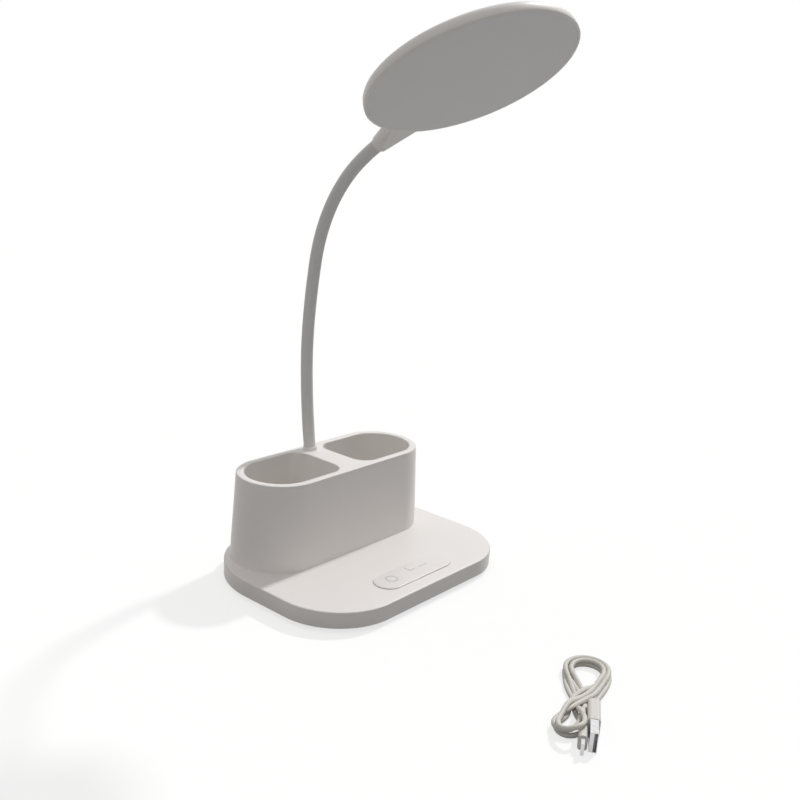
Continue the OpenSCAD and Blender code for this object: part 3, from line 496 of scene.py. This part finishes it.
# The neck's line repeats part.scad, in millimetres: seven sections, each with its length and bend
NECK_FOOT = (52.5, 76.0)
NECK_TURN = math.radians(-6)
NECK_LEAN = math.radians(-12.5)
SECTION_L = (14, 42, 42, 42, 42, 42, 21.5)
SECTION_BEND = tuple(math.radians(b) for b in (3.5, 5, 8, 5.5, 20.5, 21.5, 7.2))
NECK_L = sum(SECTION_L)
HINGE_AT = tuple(sum(SECTION_L[: k + 1]) for k in range(6))
# How far the bending reaches before and behind each hinge
BEND_REACH = ((11, 19), (19, 19), (19, 19), (19, 19), (19, 19), (19, 12))
TUBE_SHARP = math.radians(60)
COLLAR_FLOOR_Z = 76.6
FIRST_RING = 1.6
SLEEVE_R = 4.4
SLEEVE_BORE = 3.06
CORE_R = 3.0
CORE_BORE = 1.6
CORE_TIP = 8.5
COIL_PITCH = 2.0
COIL_DEPTH = 0.28
SLEEVE_STEP = 1.5
SLEEVE_SIDES, CORE_SIDES = 40, 24


def neck_at(s):
    """Point, tangent, side and inner normal of the neck's line, s millimetres above its foot."""
    rho, z, angle = 0.0, NECK_FOOT[1], NECK_LEAN
    for k, (length, bend) in enumerate(zip(SECTION_L, SECTION_BEND)):
        run = s if s < length or k == len(SECTION_L) - 1 else length
        turned = bend * run / length
        chord = 2 * length / bend * math.sin(turned / 2)
        rho += chord * math.sin(angle + turned / 2)
        z += chord * math.cos(angle + turned / 2)
        angle += turned
        s -= run
        if s <= 0:
            break
    sin_t, cos_t = math.sin(NECK_TURN), math.cos(NECK_TURN)
    point = np.array((rho * sin_t, NECK_FOOT[0] - rho * cos_t, z))
    tangent = np.array((math.sin(angle) * sin_t, -math.sin(angle) * cos_t, math.cos(angle)))
    side = np.array((cos_t, sin_t, 0.0))
    return point, tangent, side, np.cross(tangent, side)


def neck_ring(s, radius, sides):
    point, tangent, side, inward = neck_at(s)
    turn = np.linspace(0, 2 * math.pi, sides, endpoint=False)[:, None]
    ring = point + radius * (np.cos(turn) * side + np.sin(turn) * inward)
    if s <= FIRST_RING:
        ring += tangent * ((COLLAR_FLOOR_Z - ring[:, 2:]) / tangent[2])
    return ring


def neck_tube(name, stations, outer, bore, sides, material):
    """A hollow length of the neck: outer gives the radius at each station, bore is the inner radius."""
    rings = [neck_ring(s, outer(s), sides) for s in stations]
    rings += [neck_ring(s, bore, sides) for s in reversed(stations)]
    points = np.vstack(rings) * MM
    count = len(rings)
    faces = []
    for i in range(count):
        a, b = i * sides, (i + 1) % count * sides
        for k in range(sides):
            n = (k + 1) % sides
            faces.append((a + k, a + n, b + n, b + k))
    mesh = bpy.data.meshes.new(name)
    mesh.from_pydata(points.tolist(), [], faces)
    mesh.shade_smooth()
    mesh.set_sharp_from_angle(angle=TUBE_SHARP)
    mesh.materials.append(material)
    return place(name, mesh)


def coil_radius(s):
    """A gooseneck's surface: round wire between wedge wire."""
    return CORE_R - COIL_DEPTH * abs(math.sin(math.pi * s / COIL_PITCH)) ** 0.6


def build_neck():
    """Six lengths of sleeve and six of gooseneck, each reaching over one hinge, joined between hinges."""
    middles = [(a + b) / 2 for a, b in zip(HINGE_AT, HINGE_AT[1:])]
    sleeve_ends = [FIRST_RING] + middles + [NECK_L]
    core_ends = [FIRST_RING] + middles + [NECK_L + CORE_TIP]
    kinds = (
        ("sleeve", "sleeve_white", sleeve_ends, SLEEVE_STEP, lambda s: SLEEVE_R, SLEEVE_BORE, SLEEVE_SIDES),
        ("core", "goose_steel", core_ends, COIL_PITCH / 6, coil_radius, CORE_BORE, CORE_SIDES),
    )
    for label, slot, ends, step, outer, bore, sides in kinds:
        for k, hinge in enumerate(HINGE_AT):
            rows = int(round((ends[k + 1] - ends[k]) / step))
            stations = np.linspace(ends[k], ends[k + 1], rows + 1)
            piece = neck_tube(f"{label}_{k + 1}", stations, outer, bore, sides, MATERIALS[slot])
            start = neck_at(hinge - BEND_REACH[k][0])[0] * MM
            end = neck_at(hinge + BEND_REACH[k][1])[0] * MM
            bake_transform(piece)
            nodes = [f"neck_{label}_{k + 1}"]
            if k == len(HINGE_AT) - 1:
                nodes.append(f"neck_{label}_{k + 2}")
            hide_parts(*nodes)


build_neck()

# ---------------------------------------------------------------- touch marks

# Thin grey strips in the panel's engraved marks, as painted shade of the grooves; the marks repeat
# part.scad, in millimetres
PANEL_Y = -52.5
MARK_FLOOR = 14.95
MARK_TOP = 15.2
MARK_W = 1.26
HALF_GROOVE = 0.65
# The strip's upper edges are cut off by this much inwards and down
MARK_EDGE_IN, MARK_EDGE_DOWN = 0.1, 0.08
RING_SIDES = 64
RING_MARK = ((-21.0, 1.0), 4.6 - HALF_GROOVE)
ARROW_MARK = ((-2.0, 1.0), 6.5 - HALF_GROOVE)
DASH_MARK = ((11.5, 1.0), 9.0)


def groove_shade_strip(name, line, closed):
    """A flat strip of painted shade along a line in the panel, with slightly rounded upper edges."""
    line = np.array(line) + (0.0, PANEL_Y)
    count = len(line)
    half = MARK_W / 2
    edge_z = MARK_TOP - MARK_EDGE_DOWN
    profile = ((-half, MARK_FLOOR), (-half, edge_z), (-half + MARK_EDGE_IN, MARK_TOP),
               (half - MARK_EDGE_IN, MARK_TOP), (half, edge_z), (half, MARK_FLOOR))
    points = []
    for i in range(count):
        before = line[i] - line[i - 1] if i or closed else line[1] - line[0]
        after = line[(i + 1) % count] - line[i] if i < count - 1 or closed else before
        before, after = before / np.linalg.norm(before), after / np.linalg.norm(after)
        out = np.array((before[1] + after[1], -before[0] - after[0]))
        out *= 2 / out.dot(out)
        points += [(*(line[i] + out * u), z) for u, z in profile]
    size = len(profile)
    faces = []
    for i in range(count if closed else count - 1):
        a, b = i * size, (i + 1) % count * size
        faces += [(a + k, a + (k + 1) % size, b + (k + 1) % size, b + k) for k in range(size)]
    if not closed:
        faces += [tuple(range(size))[::-1], tuple(range(size * (count - 1), size * count))]
    mesh = bpy.data.meshes.new(name)
    mesh.from_pydata((np.array(points) * MM).tolist(), [], faces)
    tidy = bmesh.new()
    tidy.from_mesh(mesh)
    bmesh.ops.recalc_face_normals(tidy, faces=tidy.faces)
    tidy.to_mesh(mesh)
    tidy.free()
    mesh.materials.append(MATERIALS["mark_groove_shade"])
    piece = place(name, mesh)
    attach(piece, "base")


turns = np.linspace(0, 2 * math.pi, RING_SIDES, endpoint=False)
(ring_x, ring_y), ring_r = RING_MARK
ring = [(ring_x + ring_r * math.cos(t), ring_y + ring_r * math.sin(t)) for t in turns]
groove_shade_strip("mark_ring", ring, True)
(arrow_x, arrow_y), arrow_l = ARROW_MARK
groove_shade_strip("mark_arrow", [(arrow_x + arrow_l, arrow_y), (arrow_x, arrow_y), (arrow_x, arrow_y + arrow_l)], False)
(dash_x, dash_y), dash_l = DASH_MARK
groove_shade_strip("mark_dash", [(dash_x - dash_l / 2, dash_y), (dash_x + dash_l / 2, dash_y)], False)

# ---------------------------------------------------------------- floor and light

FLOOR_SIZE = 60.0
FLOOR_TONE = 0.31
FLOOR_GLOW = 0.72
# The dome's strength at the horizon and at its top, how late it rises, and its lean to the camera's left
AMBIENT_SIDE = 0.31
AMBIENT_TOP = 0.78
AMBIENT_POWER = 3.0
AMBIENT_LEFT = (-0.14, 0.16, 0.0)
AMBIENT_COLOUR = (1.0, 0.985, 0.975, 1)
BACKDROP_COLOUR = (1, 1, 1, 1)


def seen_directly(tree):
    """1 for a camera, mirror or glass ray, else 0."""
    rays = tree.add("ShaderNodeLightPath").outputs
    seen = tree.calc("MAXIMUM", rays["Is Camera Ray"], rays["Is Glossy Ray"])
    return tree.calc("MAXIMUM", seen, rays["Is Transmission Ray"])


def floor_and_backdrop():
    """A pale floor that shows white to the camera but keeps soft shadows."""
    half = FLOOR_SIZE / 2
    corners = [(-half, -half, 0), (half, -half, 0), (half, half, 0), (-half, half, 0)]
    mesh = bpy.data.meshes.new("floor")
    mesh.from_pydata(corners, [], [(0, 1, 2, 3)])
    floor = place("floor", mesh)
    n = Nodes("floor")
    n.shader.inputs["Base Color"].default_value = (FLOOR_TONE, FLOOR_TONE, FLOOR_TONE, 1)
    n.shader.inputs["Roughness"].default_value = 0.9
    n.shader.inputs["Specular IOR Level"].default_value = 0.0
    n.shader.inputs["Emission Color"].default_value = BACKDROP_COLOUR
    n.join(n.calc("MULTIPLY", seen_directly(n), FLOOR_GLOW), n.shader.inputs["Emission Strength"])
    floor.data.materials.append(n.material)


def world_light(side, top):
    """A dome, stronger from above than from the sides, that the camera and mirrors see as white."""
    world = bpy.data.worlds.new("world")
    scene.world = world
    world.use_nodes = True
    world.node_tree.nodes.clear()
    tree = Tree(world.node_tree)
    direction = tree.add("ShaderNodeTexCoord").outputs["Generated"]
    axis = tree.add("ShaderNodeSeparateXYZ")
    tree.join(direction, axis.inputs[0])
    rise = tree.span(tree.calc("POWER", axis.outputs["Z"], AMBIENT_POWER), side, top)
    leaning = tree.add("ShaderNodeVectorMath", operation="DOT_PRODUCT")
    tree.join(direction, leaning.inputs[0])
    leaning.inputs[1].default_value = AMBIENT_LEFT
    ambient = tree.add("ShaderNodeBackground", Color=AMBIENT_COLOUR)
    strength = tree.calc("MULTIPLY_ADD", leaning.outputs["Value"], rise, rise)
    tree.join(strength, ambient.inputs["Strength"])
    white = tree.add("ShaderNodeBackground", Color=BACKDROP_COLOUR, Strength=1.0)
    mixed = tree.add("ShaderNodeMixShader")
    tree.join(seen_directly(tree), mixed.inputs[0])
    tree.join(ambient.outputs[0], mixed.inputs[1])
    tree.join(white.outputs[0], mixed.inputs[2])
    tree.join(mixed.outputs[0], tree.add("ShaderNodeOutputWorld").inputs["Surface"])


def sun(name, azimuth, elevation, strength, spread):
    """A sun lamp that stands in a direction: azimuth from +X towards +Y, both in degrees."""
    data = bpy.data.lights.new(name, "SUN")
    data.energy = strength
    data.angle = math.radians(spread)
    lamp = place(name, data)
    a, e = math.radians(azimuth), math.radians(elevation)
    towards = Vector((math.cos(e) * math.cos(a), math.cos(e) * math.sin(a), math.sin(e)))
    lamp.rotation_euler = towards.to_track_quat("Z", "Y").to_euler()


floor_and_backdrop()
world_light(AMBIENT_SIDE, AMBIENT_TOP)
sun("key", azimuth=4, elevation=47, strength=1.8, spread=4)
